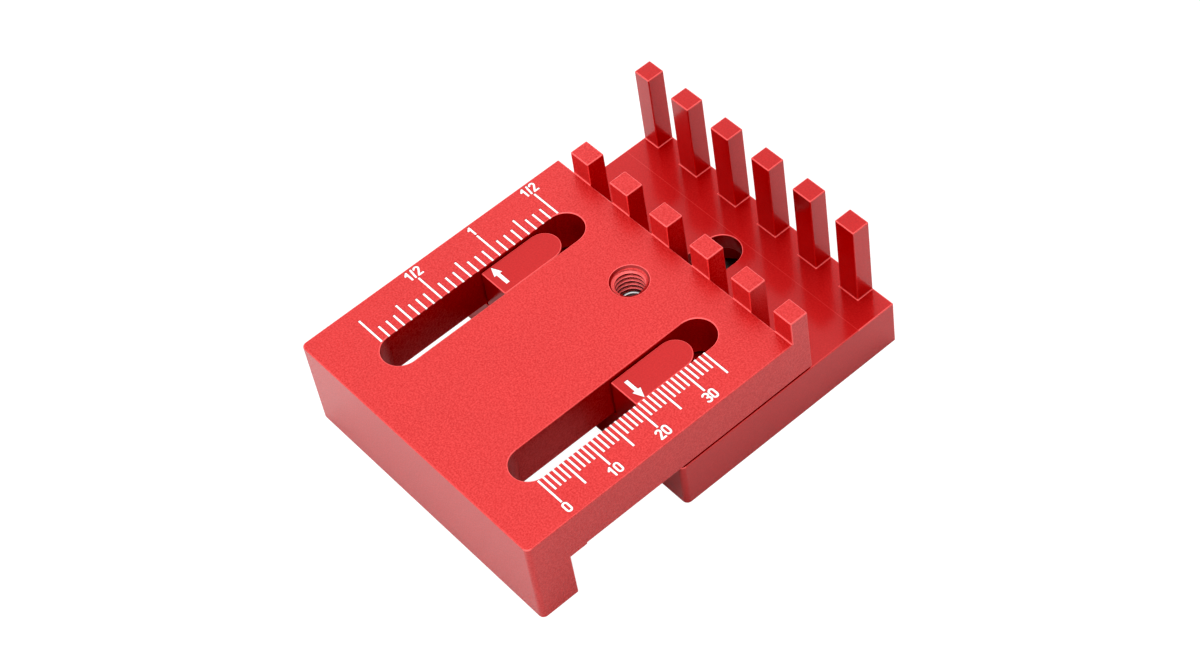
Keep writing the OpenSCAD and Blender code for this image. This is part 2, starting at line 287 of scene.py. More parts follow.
def sharp_edges(bm: BMesh, convex: bool) -> list[BMEdge]:
    """Lists the corners of a solid, outward ones or inward ones.

    Args:
        bm: The solid.
        convex: Whether the outward ones are wanted.

    Returns:
        The edges where the faces turn by more than a step of a round.
    """
    bm.normal_update()
    return [e for e in bm.edges if e.is_manifold and e.calc_face_angle() > ROUND_STEP
            and e.is_convex == convex]


def break_edges(bm: BMesh, edges: Sequence[BMEdge], size: float) -> None:
    """Rounds edges and marks the new faces for the paler red of a broken edge: thinner dye and
    painted highlight.

    Args:
        bm: The solid.
        edges: The edges to round.
        size: The radius of the round.
    """
    layer = bm.faces.layers.float.get(WEAR_AND_LIGHT_LAYER) or bm.faces.layers.float.new(WEAR_AND_LIGHT_LAYER)
    keys = {tuple(sorted(v.index for v in e.verts)) for e in edges}
    edges = [e for e in bm.edges if tuple(sorted(v.index for v in e.verts)) in keys]
    box = [(min(v.co[i] for v in bm.verts), max(v.co[i] for v in bm.verts)) for i in range(3)]
    out = bmesh.ops.bevel(bm, geom=edges, offset=size, offset_type="OFFSET",
                          segments=BREAK_SEGMENTS, profile=0.5, affect="EDGES",
                          clamp_overlap=False, material=-1, loop_slide=True)
    for f in out["faces"]:  # short edges get the full paler red of thinner dye and painted highlight, long outline edges less
        f[layer] = 1.0 if max(e.calc_length() for e in f.edges) < LONG_EDGE else LONG_EDGE_WEAR_AND_HIGHLIGHT
    for v in bm.verts:  # a mixed corner's mitre may stand out past the faces
        v.co = [min(max(c, low), high) for c, (low, high) in zip(v.co, box)]


def flat_stretches(bm: BMesh) -> dict[int, Vector]:
    """Finds each flat stretch of a solid and gives its faces one normal, as long as its area.

    Args:
        bm: The solid, with its indices up to date.

    Returns:
        The long normal of each face, by the face's index. Faces of one stretch share the object.
    """
    found: dict[int, Vector] = {}
    for seed in bm.faces:
        if seed.index in found:
            continue
        total, stack = Vector(), [seed]
        found[seed.index] = total
        while stack:
            face = stack.pop()
            total += face.normal * face.calc_area()
            for edge in face.edges:
                if edge.is_manifold and edge.calc_face_angle() < COPLANAR:
                    for other in edge.link_faces:
                        if other.index not in found:
                            found[other.index] = total
                            stack.append(other)
    return found


def even_normals(bm: BMesh) -> list[Vector]:
    """Works out the shading normal of each face corner, so that flat faces look flat.

    Args:
        bm: The solid, with its sharp edges marked.

    Returns:
        The normals in the order of the mesh's corners.
    """
    for seq in (bm.faces, bm.verts):
        seq.index_update()
    stretch = flat_stretches(bm)
    normals: list[Vector] = []
    for face in bm.faces:
        for loop in face.loops:
            fan, stack = {face.index}, [face]
            while stack:
                for edge in stack.pop().edges:
                    if edge.smooth and loop.vert in edge.verts:
                        fresh = [f for f in edge.link_faces if f.index not in fan]
                        fan.update(f.index for f in fresh)
                        stack += fresh
            shares = {id(stretch[i]): stretch[i] for i in fan}.values()
            normal = sum(shares, Vector())
            normals.append(normal.normalized() if normal.length > 0 else face.normal.copy())
    return normals


def finish_piece(bm: BMesh, name: str, body: str, nodes: Sequence[str],
                 round_step: float = ROUND_STEP) -> bpy.types.Object:
    """Brings a shaped solid to metres and puts it in the place of CAD nodes.

    Args:
        bm: The solid, which is used up.
        name: The piece's name.
        body: The body that it rides on.
        nodes: The CAD nodes that it stands for.
        round_step: The least turn that makes an edge sharp.

    Returns:
        The finished piece.
    """
    bm.normal_update()
    for f in bm.faces:
        f.smooth = True
    for e in bm.edges:
        e.smooth = e.is_manifold and e.calc_face_angle() < round_step
    normals = even_normals(bm)
    bmesh.ops.scale(bm, vec=(MM, MM, MM), verts=bm.verts)
    mesh = bpy.data.meshes.new(name)
    bm.to_mesh(mesh)
    bm.free()
    mesh.normals_split_custom_set(normals)
    piece = bpy.data.objects.new(name, mesh)
    bpy.context.scene.collection.objects.link(piece)
    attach(piece, body)
    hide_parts(*nodes)
    return piece


# Finishes


def linear(hex_colour: str) -> tuple[float, float, float, float]:
    """Turns an sRGB hex colour into the linear colour that the shaders take.

    Args:
        hex_colour: The colour, with its leading hash sign.

    Returns:
        Red, green, blue and a full alpha.
    """
    parts = [int(hex_colour[i:i + 2], 16) / 255 for i in (1, 3, 5)]
    r, g, b = (c / 12.92 if c <= 0.04045 else ((c + 0.055) / 1.055) ** 2.4 for c in parts)
    return r, g, b, 1.0


def add_node(tree: bpy.types.NodeTree, kind: str, inputs: dict[str | int, object] | None = None,
             **settings: object) -> bpy.types.Node:
    """Adds a node, sets it and links it.

    Args:
        tree: The tree that gets the node.
        kind: The node's type.
        inputs: Input names or numbers, each with a value or with the output to link.
        settings: Properties of the node.

    Returns:
        The new node.
    """
    node = tree.nodes.new(kind)
    for key, value in settings.items():
        setattr(node, key, value)
    for key, value in (inputs or {}).items():
        if isinstance(value, bpy.types.NodeSocket):
            tree.links.new(value, node.inputs[key])
        else:
            node.inputs[key].default_value = value
    return node


def new_material(name: str) -> tuple[bpy.types.Material, bpy.types.NodeTree]:
    """Starts a material with an empty tree.

    Args:
        name: The material's name.

    Returns:
        The material and its tree.
    """
    material = bpy.data.materials.new(name)
    material.use_nodes = True
    material.node_tree.nodes.clear()
    return material, material.node_tree


def dress(obj: bpy.types.Object, *materials: bpy.types.Material) -> None:
    """Gives an object its materials, the first of them all over where no face is marked.

    Args:
        obj: The object.
        materials: The materials, in the order of the faces' numbers for them.
    """
    obj.data.materials.clear()
    for material in materials:
        obj.data.materials.append(material)


@dataclass(frozen=True)
class AnodisedAluminium:
    """Bead-blasted aluminium, dyed and sealed.

    The eye gets a satin metal with a fine grain under a clear oxide skin. Marked faces take a paler
    red, partly thinner dye and partly painted highlight, and a thread's roots a darker red that is
    painted shade.
    """

    name: str
    colour: str                 # the dye over bright metal
    thin_dye_and_highlight: str            # the paler red: thinner dye on broken edges and grain rims, and painted highlight on marked faces
    metal: float = 0.7          # share of the light that the metal under the dye throws back
    roughness: float = 0.42
    skin_roughness: float = 0.25
    skin_ior: float = 1.5
    grain: float = 0.3          # mm, a blasted dimple, drawn coarse enough to show
    grain_depth: float = 0.045  # mm
    grain_tone: float = 0.15    # how much lighter a dimple's rim is than its floor
    grain_spread: float = 0.05  # how far the grain takes the roughness up and down
    fleck: float = 0.25         # share of the thin dye on the highest rims
    cloud: float = 7.0          # mm, patches where the dye took a little more
    cloud_tone: float = 0.08    # how much lighter the palest patch is than the darkest
    edge_wear_and_highlight: float = 0.75     # share of the paler red on a marked face: thinner dye and painted highlight
    root_painted_shade: float = 0.4      # painted shade: how dark the red gets in a thread's root

    def build(self) -> bpy.types.Material:
        """Makes the material.

        Returns:
            The new material.
        """
        material, tree = new_material(self.name)
        place = add_node(tree, "ShaderNodeTexCoord").outputs["Object"]
        grain = add_node(tree, "ShaderNodeTexNoise", {
            "Vector": place, "Scale": 1 / (self.grain * MM), "Detail": 2.0, "Roughness": 0.6})
        cloud = add_node(tree, "ShaderNodeTexNoise", {
            "Vector": place, "Scale": 1 / (self.cloud * MM), "Detail": 3.0, "Roughness": 0.5})
        edge = add_node(tree, "ShaderNodeAttribute", attribute_name=WEAR_AND_LIGHT_LAYER)
        rims = add_node(tree, "ShaderNodeMapRange", {
            "Value": grain.outputs["Fac"], "From Min": NOISE_SPAN[0],
            "From Max": NOISE_SPAN[1], "To Min": 0.0, "To Max": self.fleck})
        # marked faces turn paler: thinner dye at broken edges and painted highlight
        wear_and_highlight_mix = add_node(tree, "ShaderNodeMath", {
            0: edge.outputs["Fac"], 1: self.edge_wear_and_highlight, 2: rims.outputs["Result"]},
            operation="MULTIPLY_ADD", use_clamp=True)
        # painted shade: the red darkens in a thread's roots
        root_shading = add_node(tree, "ShaderNodeMapRange", {
            "Value": edge.outputs["Fac"], "From Min": -1.0, "From Max": 0.0,
            "To Min": self.root_painted_shade, "To Max": 1.0})
        dye_and_highlight = add_node(tree, "ShaderNodeMix", {
            "Factor": wear_and_highlight_mix.outputs[0], 6: linear(self.colour), 7: linear(self.thin_dye_and_highlight)},
            data_type="RGBA")
        tone = add_node(tree, "ShaderNodeMath", {
            0: grain.outputs["Fac"], 1: self.grain_tone, 2: 1 - self.grain_tone / 2},
            operation="MULTIPLY_ADD")
        drift = add_node(tree, "ShaderNodeMath", {
            0: cloud.outputs["Fac"], 1: self.cloud_tone, 2: 1 - self.cloud_tone / 2},
            operation="MULTIPLY_ADD")
        even = add_node(tree, "ShaderNodeMath", {
            0: tone.outputs[0], 1: drift.outputs[0]}, operation="MULTIPLY")
        shade = add_node(tree, "ShaderNodeMath", {
            0: even.outputs[0], 1: root_shading.outputs["Result"]}, operation="MULTIPLY")
        colour = add_node(tree, "ShaderNodeVectorMath", {
            0: dye_and_highlight.outputs[2], "Scale": shade.outputs[0]}, operation="SCALE")
        rough = add_node(tree, "ShaderNodeMapRange", {
            "Value": grain.outputs["Fac"], "To Min": self.roughness - self.grain_spread,
            "To Max": self.roughness + self.grain_spread})
        bump = add_node(tree, "ShaderNodeBump", {
            "Height": grain.outputs["Fac"], "Strength": 1.0, "Distance": self.grain_depth * MM})
        shader = add_node(tree, "ShaderNodeBsdfPrincipled", {
            "Base Color": colour.outputs[0], "Metallic": self.metal, "Roughness": rough.outputs[0],
            "Normal": bump.outputs[0], "Coat Normal": bump.outputs[0], "Coat Weight": 1.0,
            "Coat Roughness": self.skin_roughness, "Coat IOR": self.skin_ior})
        add_node(tree, "ShaderNodeOutputMaterial", {"Surface": shader.outputs[0]})
        return material


@dataclass(frozen=True)
class ZincPlatedSteel:
    """Turned steel with a bright zinc plate: a clean, slightly milky metal."""

    name: str
    colour: str
    roughness: float
    grain: float = 0.3          # mm, spangle of the plate
    grain_depth: float = 0.002  # mm
    tone: tuple[float, float] = (0.85, 1.05)        # of the colour, from dull to bright spangle
    spread: tuple[float, float] = (-0.06, 0.08)     # what the spangle adds to the roughness

    def build(self) -> bpy.types.Material:
        """Makes the material.

        Returns:
            The new material.
        """
        material, tree = new_material(self.name)
        place = add_node(tree, "ShaderNodeTexCoord").outputs["Object"]
        grain = add_node(tree, "ShaderNodeTexNoise", {
            "Vector": place, "Scale": 1 / (self.grain * MM), "Detail": 3.0})
        tone = add_node(tree, "ShaderNodeMapRange", {
            "Value": grain.outputs["Fac"], "To Min": self.tone[0], "To Max": self.tone[1]})
        colour = add_node(tree, "ShaderNodeVectorMath", {
            0: linear(self.colour)[:3], "Scale": tone.outputs[0]}, operation="SCALE")
        rough = add_node(tree, "ShaderNodeMapRange", {
            "Value": grain.outputs["Fac"], "To Min": self.roughness + self.spread[0],
            "To Max": self.roughness + self.spread[1]})
        bump = add_node(tree, "ShaderNodeBump", {
            "Height": grain.outputs["Fac"], "Strength": 1.0, "Distance": self.grain_depth * MM})
        shader = add_node(tree, "ShaderNodeBsdfPrincipled", {
            "Base Color": colour.outputs[0], "Metallic": 1.0, "Roughness": rough.outputs[0],
            "Normal": bump.outputs[0]})
        add_node(tree, "ShaderNodeOutputMaterial", {"Surface": shader.outputs[0]})
        return material


@dataclass(frozen=True)
class EnamelFill:
    """White enamel wiped into engraved marks: matt, a little uneven where it dried."""

    name: str = "white_enamel_fill"
    colour: str = "#fafafa"
    roughness: float = 0.55
    ripple: float = 0.25        # mm, brush drag in the paint
    ripple_depth: float = 0.01  # mm
    thin_tone: float = 0.94     # of the colour, where the paint dried thin

    def build(self) -> bpy.types.Material:
        """Makes the material.

        Returns:
            The new material.
        """
        material, tree = new_material(self.name)
        place = add_node(tree, "ShaderNodeTexCoord").outputs["Object"]
        ripple = add_node(tree, "ShaderNodeTexNoise", {
            "Vector": place, "Scale": 1 / (self.ripple * MM), "Detail": 2.0})
        tone = add_node(tree, "ShaderNodeMapRange", {
            "Value": ripple.outputs["Fac"], "To Min": self.thin_tone, "To Max": 1.0})
        colour = add_node(tree, "ShaderNodeVectorMath", {
            0: linear(self.colour)[:3], "Scale": tone.outputs[0]}, operation="SCALE")
        bump = add_node(tree, "ShaderNodeBump", {
            "Height": ripple.outputs["Fac"], "Strength": 1.0, "Distance": self.ripple_depth * MM})
        shader = add_node(tree, "ShaderNodeBsdfPrincipled", {
            "Base Color": colour.outputs[0], "Roughness": self.roughness,
            "Normal": bump.outputs[0]})
        add_node(tree, "ShaderNodeOutputMaterial", {"Surface": shader.outputs[0]})
        return material


# The second colour is the paler red of a marked face: thinner dye and painted highlight.
BODY_RED = AnodisedAluminium("red_anodised_body", "#c90a09", "#ff6a68")
# The slider's red is a little darker and less pink than the body's: painted shade for its deck, low
# between the body and the pegs.
SLIDER_RED = AnodisedAluminium("red_anodised_slider", "#c0080a", "#f86462", skin_roughness=0.12,
                               grain_depth=0.01, grain_tone=0.3, fleck=0.05)
# The tap cuts after the blasting, so its surfaces keep their gloss and mirror each other
# Its darker red is painted shade for the hole, its pale second colour a painted highlight on the
# flanks that look up, and its root tone a painted shade in the roots.
TAPPED_RED = AnodisedAluminium("red_anodised_tapped", "#a00a0a", "#ff8a84", metal=1.0,
                               roughness=0.12, skin_roughness=0.06, skin_ior=1.0,
                               grain_depth=0.001, fleck=0.0, edge_wear_and_highlight=0.45, root_painted_shade=0.12)


# The gauge's parts


@dataclass
class Comb:
    """The row of teeth or pegs: where they stand across the gauge."""

    side_x: float = 29.2
    inset: float = 4.2
    pitch: float = 10.0
    count: int = 6
    tooth_w: float = 4.5
    gap: float = 0.6

    def teeth(self) -> list[tuple[float, float]]:
        """Gives each body tooth's left and right x, cut short by the side."""
        starts = [self.inset - self.side_x + i * self.pitch for i in range(self.count)]
        return [(x, min(x + self.tooth_w, self.side_x)) for x in starts]

    def pegs(self) -> list[tuple[float, float]]:
        """Gives each slider peg's left and right x, in the gaps to the left of the teeth."""
        width = self.pitch - self.tooth_w - 2 * self.gap
        return [(max(x - self.gap - width, -self.side_x), x - self.gap) for x, _ in self.teeth()]


@dataclass
class HelicalThread:
    """A metric thread that winds upwards, right-handed, in the hole and on the screw."""

    y: float = 7.625
    pitch: float = 1.0
    root_w: float = 0.5         # the screw's ridge, where it leaves the core
    crest_w: float = 0.06       # and out at its crest
    nut_crest_w: float = 0.25   # the hole's ridge, with room for the screw's all round
    nut_root_w: float = 0.06    # the flat at the bottom of the hole's groove
    phase_z: float = 9.65       # height of the screw's ridge on the +X side, at any turn
    sink: float = 0.1           # how far a groove's cutter starts inside the hole
    steps: int = 48             # of a full turn

    def wind(self, radii: Sequence[float], widths: Sequence[float], low: float,
             high: float) -> BMesh:
        """Winds a ridge, or the cutter of a groove, as a closed solid.

        Args:
            radii: Radii of the profile, from the inside out.
            widths: The profile's width at each of them.
            low: Height below which the winding starts.
            high: Height above which it ends, after whole turns.

        Returns:
            The wound solid.
        """
        bm = bmesh.new()
        z0 = self.phase_z - math.ceil((self.phase_z - low) / self.pitch) * self.pitch
        turns = math.ceil((high - z0) / self.pitch)
        outline = list(zip(radii, (-w / 2 for w in widths)))
        outline += reversed(list(zip(radii, (w / 2 for w in widths))))
        y = self.y
        verts = [bm.verts.new((r, y, z0 + z)) for r, z in outline]
        bm.faces.new(verts)
        bmesh.ops.spin(bm, geom=bm.verts[:] + bm.edges[:] + bm.faces[:], cent=(0, y, 0),
                       axis=(0, 0, 1), dvec=(0, 0, self.pitch / self.steps),
                       angle=2 * math.pi * turns, steps=self.steps * turns)
        bmesh.ops.remove_doubles(bm, verts=bm.verts, dist=MERGE)
        bmesh.ops.recalc_face_normals(bm, faces=bm.faces)
        return bm


@dataclass
class Engraving:
    """Grooves that the painted marks lie in, a little wider than the paint."""

    margin: float = 0.05
    depth: float = 0.15
    body_nodes: tuple[str, ...] = ("metric_ticks", "metric_numerals", "inch_ticks", "inch_numerals")
    slider_nodes: tuple[str, ...] = ("slider_arrows",)

    def cutter(self, node: str, face_z: float) -> BMesh:
        """Makes a cutter from a paint node's outline.

        Args:
            node: The CAD node of the paint.
            face_z: The face that the marks are cut into.

        Returns:
            The cutter, which reaches up out of the face.
        """
        bm = bmesh.new()
        bm.from_mesh(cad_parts[node].data)
        bmesh.ops.scale(bm, vec=(1 / MM,) * 3, verts=bm.verts)
        flatten(bm)
        middle = face_z - self.depth / 2
        for v in bm.verts:
            walls: list[Vector] = []
            for f in v.link_faces:
                if abs(f.normal.z) < UPRIGHT and all(f.normal.dot(w) < ONE_WALL for w in walls):
                    walls.append(f.normal.copy())
            if len(walls) == 2:
                out = (walls[0] + walls[1]) / (1 + walls[0].dot(walls[1]))
            else:
                out = walls[0]
            v.co += out * self.margin
            v.co.z = face_z + CLEAR if v.co.z > middle else face_z - self.depth
        bm.normal_update()
        return bm


@dataclass
class GaugeBody:
    """The scaled plate with its lip, its two slots, its teeth and the tapped hole."""

    comb: Comb
    thread: HelicalThread
    engraving: Engraving
    front_y: float = -39.025
    lip_rear_y: float = -31.525
    land_rear_y: float = -28.025
    rear_y: float = 16.975
    tooth_rear_y: float = 20.575
    underside_z: float = 10.15
    land_z: float = 9.8
    top_z: float = 18.85
    tooth_top_z: float = 23.9
    corner_r: float = 1.0
    slot_x: float = 16.5
    slot_w: float = 7.0
    slot_y: tuple[float, float] = (-31.225, 11.075)
    crest_r: float = 2.6        # of the tapped hole's ridge
    root_r: float = 3.2         # of the groove between its turns
    bottom_chamfer: float = 0.5
    rim_r: float = 3.53
    mouth: tuple[tuple[float, float], ...] = (
        (0.8, 2.6), (0.45, 3.15), (0.05, 3.41))     # depth and radius of the countersink's rings
    light: tuple[tuple[float, float], ...] = (
        (0.855, 1.0), (0.8, 0.0), (0.3, -0.6))      # how far a face looks up, and its mark: painted highlight where it looks up, painted shade where it is steep
    edge: float = 0.2

    def blank(self) -> BMesh:
        """Shapes the plate, lip, land and teeth from one block.

        Returns:
            The solid with the flat faces whole and the front corners rounded.
        """
        side = self.comb.side_x
        teeth = self.comb.teeth()
        bm = block((-side, self.front_y, self.underside_z), (side, self.rear_y, self.top_z))
        split_at(bm, Axis.Y, (self.lip_rear_y, self.land_rear_y))
        split_at(bm, Axis.X, {x for tooth in teeth for x in tooth if abs(x) < side})
        pull(bm, facing(bm, (0, 1, 0), lambda m: any(a < m.x < b for a, b in teeth)),
             (0, self.tooth_rear_y - self.rear_y, 0))
        pull(bm, facing(bm, (0, 0, 1), lambda m: m.y > self.rear_y),
             (0, 0, self.tooth_top_z - self.top_z))
        pull(bm, facing(bm, (0, 0, -1), lambda m: m.y < self.land_rear_y),
             (0, 0, self.land_z - self.underside_z))
        pull(bm, facing(bm, (0, 0, -1), lambda m: m.y < self.lip_rear_y), (0, 0, -self.land_z))
        flatten(bm)
        round_front_corners(bm, self.front_y, side, self.corner_r)
        return bm

    def shape(self) -> BMesh:
        """Cuts the slots, breaks the edges, taps the hole and engraves the scales.

        Returns:
            The finished solid.
        """
        bm = self.blank()
        for x in (-self.slot_x, self.slot_x):
            slot = capsule(self.slot_w, x, *self.slot_y, self.underside_z - CLEAR,
                           self.top_z + CLEAR)
            bm = combine(bm, slot, Combine.CUT)
        flatten(bm)
        inner = [e for e in sharp_edges(bm, False)
                 if all(v.co.z > self.underside_z + CLEAR for v in e.verts)]
        break_edges(bm, sharp_edges(bm, True) + inner, self.edge)
        bm = self.tap(bm)
        for node in self.engraving.body_nodes:
            bm = combine(bm, self.engraving.cutter(node, self.top_z), Combine.CUT)
        self.mark_thread(bm)
        return bm

    def tap(self, bm: BMesh) -> BMesh:
        """Drills the hole with its countersink and cuts the thread.

        Args:
            bm: The solid, which is used up.

        Returns:
            The solid with the hole.
        """
        thread = self.thread
        low, high = self.underside_z - CLEAR, self.top_z + CLEAR
        drill = [(0.0, low), (self.root_r, low), (self.root_r, self.underside_z),
                 (self.crest_r, self.underside_z + self.bottom_chamfer),
                 *((r, self.top_z - depth) for depth, r in self.mouth),
                 (self.rim_r, self.top_z), (self.rim_r, high), (0.0, high)]
        bm = combine(bm, turned(drill, thread.y), Combine.CUT)
        radii = (self.crest_r - thread.sink, self.crest_r, self.root_r)
        gap = thread.pitch - thread.nut_crest_w
        groove = thread.wind(radii, (gap, gap, thread.nut_root_w), low, high)
        return combine(bm, groove, Combine.CUT)

    def mark_thread(self, bm: BMesh) -> None:
        """Marks the tapped faces with painted highlight where they look up and painted shade where
        they are steep and in the roots, and the rim for the paler red of a broken edge.

        Args:
            bm: The solid.
        """
        layer = bm.faces.layers.float[WEAR_AND_LIGHT_LAYER]
        tapped_r = self.mouth[-1][1]
        bm.normal_update()
        for f in bm.faces:
            reach = max(math.hypot(v.co.x, v.co.y - self.thread.y) for v in f.verts)
            if reach < tapped_r + TOLERANCE:
                f.material_index = 1
                f[layer] = next((mark for least, mark in self.light if f.normal.z > least), -1.0)
            elif reach < self.rim_r + TOLERANCE:
                f[layer] = 1.0

    def build(self) -> list[bpy.types.Object]:
        """Makes and dresses the piece.

        Returns:
            The piece, alone in a list.
        """
        piece = finish_piece(self.shape(), "gauge_body", "body", ["body"])
        dress(piece, BODY_RED.build(), TAPPED_RED.build())
        return [piece]


@dataclass
class GaugeSlider:
    """The slider: a deck with two bosses that run in the slots and a comb of tall pegs."""

    comb: Comb
    engraving: Engraving
    front_y: float = -8.225
    peg_y: float = 35.525
    rear_y: float = 39.025
    deck_z: float = 9.65
    boss_z: float = 18.30
    peg_z: float = 26.35
    boss_x: float = 16.5
    boss_w: float = 6.4
    boss_rear_y: float = 5.875
    corner_r: float = 1.0
    slot_w: float = 7.0
    recess_w: float = 12.8
    recess_h: float = 6.3
    slot_centres: tuple[float, float] = (1.425, 27.125)
    step_y: float = 31.0
    step: float = 0.012         # how much lower the deck lies in front of the milling step
    step_w: float = 0.14
    step_highlight: float = 0.25     # painted highlight: a faint pale line on the milling step's slope
    edge: float = 0.2

    def blank(self) -> BMesh:
        """Shapes the deck and the pegs from one block.

        Returns:
            The solid with the flat faces whole and the front corners rounded.
        """
        side = self.comb.side_x
        pegs = self.comb.pegs()
        bm = block((-side, self.front_y, 0), (side, self.rear_y, self.deck_z))
        split_at(bm, Axis.Y, (self.step_y, self.step_y + self.step_w, self.peg_y))
        for v in bm.verts:
            if v.co.y < self.step_y + TOLERANCE and v.co.z > self.deck_z / 2:
                v.co.z -= self.step
        split_at(bm, Axis.X, {x for peg in pegs for x in peg if abs(x) < side})
        pull(bm, facing(bm, (0, 0, 1), lambda m: m.y > self.peg_y and any(
            a < m.x < b for a, b in pegs)), (0, 0, self.peg_z - self.deck_z))
        flatten(bm)
        round_front_corners(bm, self.front_y, side, self.corner_r)
        return bm

    def shape(self) -> BMesh:
        """Adds the bosses, cuts the screw slot, breaks the edges and engraves the arrows.

        Returns:
            The finished solid.
        """
        bm = self.blank()
        for x in (-self.boss_x, self.boss_x):
            boss = capsule(self.boss_w, x, self.front_y, self.boss_rear_y, self.deck_z - CLEAR,
                           self.boss_z, round_front=False)
            bm = combine(bm, boss, Combine.JOIN)
        y0, y1 = self.slot_centres
        for width, top in ((self.slot_w, self.deck_z + CLEAR), (self.recess_w, self.recess_h)):
            slot = capsule(width, 0, y0 - width / 2, y1 + width / 2, -CLEAR, top)
            bm = combine(bm, slot, Combine.CUT)
        flatten(bm)
        inner = [e for e in sharp_edges(bm, False)
                 if all(v.co.z > self.deck_z - CLEAR for v in e.verts)]
        break_edges(bm, sharp_edges(bm, True) + inner, self.edge)
        layer = bm.faces.layers.float[WEAR_AND_LIGHT_LAYER]
        front, rear = self.step_y - TOLERANCE, self.step_y + self.step_w + TOLERANCE
        # the milling step's slope gets a painted highlight
        for f in bm.faces:
            if all(front < v.co.y < rear and v.co.z > self.deck_z - self.edge / 2
                   for v in f.verts):
                f[layer] = self.step_highlight
        for node in self.engraving.slider_nodes:
            bm = combine(bm, self.engraving.cutter(node, self.boss_z), Combine.CUT)
        return bm

    def build(self) -> list[bpy.types.Object]:
        """Makes and dresses the piece.

        Returns:
            The piece, alone in a list.
        """
        piece = finish_piece(self.shape(), "gauge_slider", "slider", ["slider"])
        dress(piece, SLIDER_RED.build())
        return [piece]


@dataclass
class PaintedMarks:
    """The paint in the engraved scales and arrows, kept as the CAD has it."""

    engraving: Engraving

    def build(self) -> list[bpy.types.Object]:
        """Dresses the paint nodes.

        Returns:
            The nodes' objects.
        """
        fill = EnamelFill().build()
        marks = [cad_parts[node]
                 for node in self.engraving.body_nodes + self.engraving.slider_nodes]
        for mark in marks:
            dress(mark, fill)
        return marks


@dataclass
class LockScrew:
    """The button-head screw that hangs from the body's thread and clamps the slider."""

    thread: HelicalThread
    head_z: float = 2.0
    under_head_z: float = 5.3
    head_r: float = 5.25
    head_flat_r: float = 2.8
    head_land: float = 0.25
    head_chamfer: float = 0.08
    dome_steps: int = 12
    socket_af: float = 4.0
    socket_depth: float = 2.1
    socket_lead: tuple[float, float] = (0.2, 0.4)   # how far the chamfer bites in, and its depth
    drill_r: float = 1.85       # of the hole that was drilled before the socket was broached
    drill_point: tuple[float, float] = (0.1, 0.6)   # its overlap with the socket, and its depth
    core_r: float = 2.5
    core_sink: tuple[float, float] = (0.2, 0.1)     # of the ridge's inside, and of its cut end
    crest_r: float = 2.95
    thread_lead: float = 0.4    # height over which the ridge comes out of the core
    tip_z: float = 13.3
    tip_chamfer: float = 0.5
    cup_r: tuple[float, float] = (2.22, 2.0)
    cup_depth: tuple[float, float] = (0.09, 0.14)

    def dome(self) -> list[tuple[float, float]]:
        """Gives the dome's profile from its flat out to its land.

        Returns:
            Points of radius and height.
        """
        rise = self.under_head_z - self.head_land - self.head_z
        reach = self.head_r ** 2 - self.head_flat_r ** 2
        centre = (reach + rise ** 2) / (2 * rise)
        ball = math.hypot(self.head_flat_r, centre)
        start = math.atan2(-centre, self.head_flat_r)
        end = math.atan2(rise - centre, self.head_r)
        turns = (start + (end - start) * i / self.dome_steps for i in range(self.dome_steps + 1))
        return [(ball * math.cos(t), self.head_z + centre + ball * math.sin(t)) for t in turns]

    def socket(self) -> BMesh:
        """Makes the cutter of the hexagon socket, with its chamfer and the drill's point.

        Returns:
            The cutter, which reaches down out of the head.
        """
        y, low = self.thread.y, self.head_z - CLEAR
        corner_r = self.socket_af / math.sqrt(3)
        socket = bmesh.new()
        bmesh.ops.create_circle(socket, segments=6, radius=corner_r,
                                matrix=Matrix.Translation((0, y, low)))
        socket = prism(socket, socket.edges[:], self.socket_depth + CLEAR)
        bite, depth = self.socket_lead
        lead_z = self.head_z + depth
        chamfer = [(0.0, low), (corner_r - bite + depth + CLEAR, low),
                   (corner_r - bite, lead_z), (0.0, lead_z)]
        floor_z = self.head_z + self.socket_depth
        overlap, point_h = self.drill_point
        point = [(0.0, floor_z - overlap), (self.drill_r, floor_z - overlap),
                 (self.drill_r, floor_z), (0.0, floor_z + point_h)]
        for cone in (chamfer, point):
            socket = combine(socket, turned(cone, y), Combine.JOIN)
        return socket

    def shape(self) -> BMesh:
        """Turns the head and core, winds the thread on and cuts the socket.

        Returns:
            The finished solid.
        """
        thread, tip = self.thread, self.tip_z
        shoulder = tip - self.tip_chamfer
        profile = [(0.0, self.head_z)] + self.dome() + [
            (self.head_r, self.under_head_z - self.head_chamfer),
            (self.head_r - self.head_chamfer, self.under_head_z),
            (self.core_r, self.under_head_z), (self.core_r, shoulder),
            (self.core_r - self.tip_chamfer / 2, tip), (self.cup_r[0], tip),
            (self.cup_r[1], tip - self.cup_depth[0]), (0.0, tip - self.cup_depth[1])]
        screw = turned(profile, thread.y)
        start = self.under_head_z + thread.pitch
        ridge_sink, envelope_sink = self.core_sink
        ridge = thread.wind((self.core_r - ridge_sink, self.core_r, self.crest_r),
                            (thread.root_w, thread.root_w, thread.crest_w), start, tip)
        envelope = turned([(0.0, start), (self.core_r, start),
                           (self.crest_r, start + self.thread_lead), (self.crest_r, shoulder),
                           (self.core_r - envelope_sink, tip), (0.0, tip)], thread.y)
        screw = combine(screw, combine(ridge, envelope, Combine.TRIM), Combine.JOIN)
        return combine(screw, self.socket(), Combine.CUT)

    def build(self) -> list[bpy.types.Object]:
        """Makes and dresses the piece.

        Returns:
            The piece, alone in a list.
        """
        piece = finish_piece(self.shape(), "button_screw", "lock_screw",
                             ["lock_screw"], TURNED_STEP)
        dress(piece, ZincPlatedSteel("zinc_plated_screw", "#c4c5c6", 0.34).build())
        return [piece]


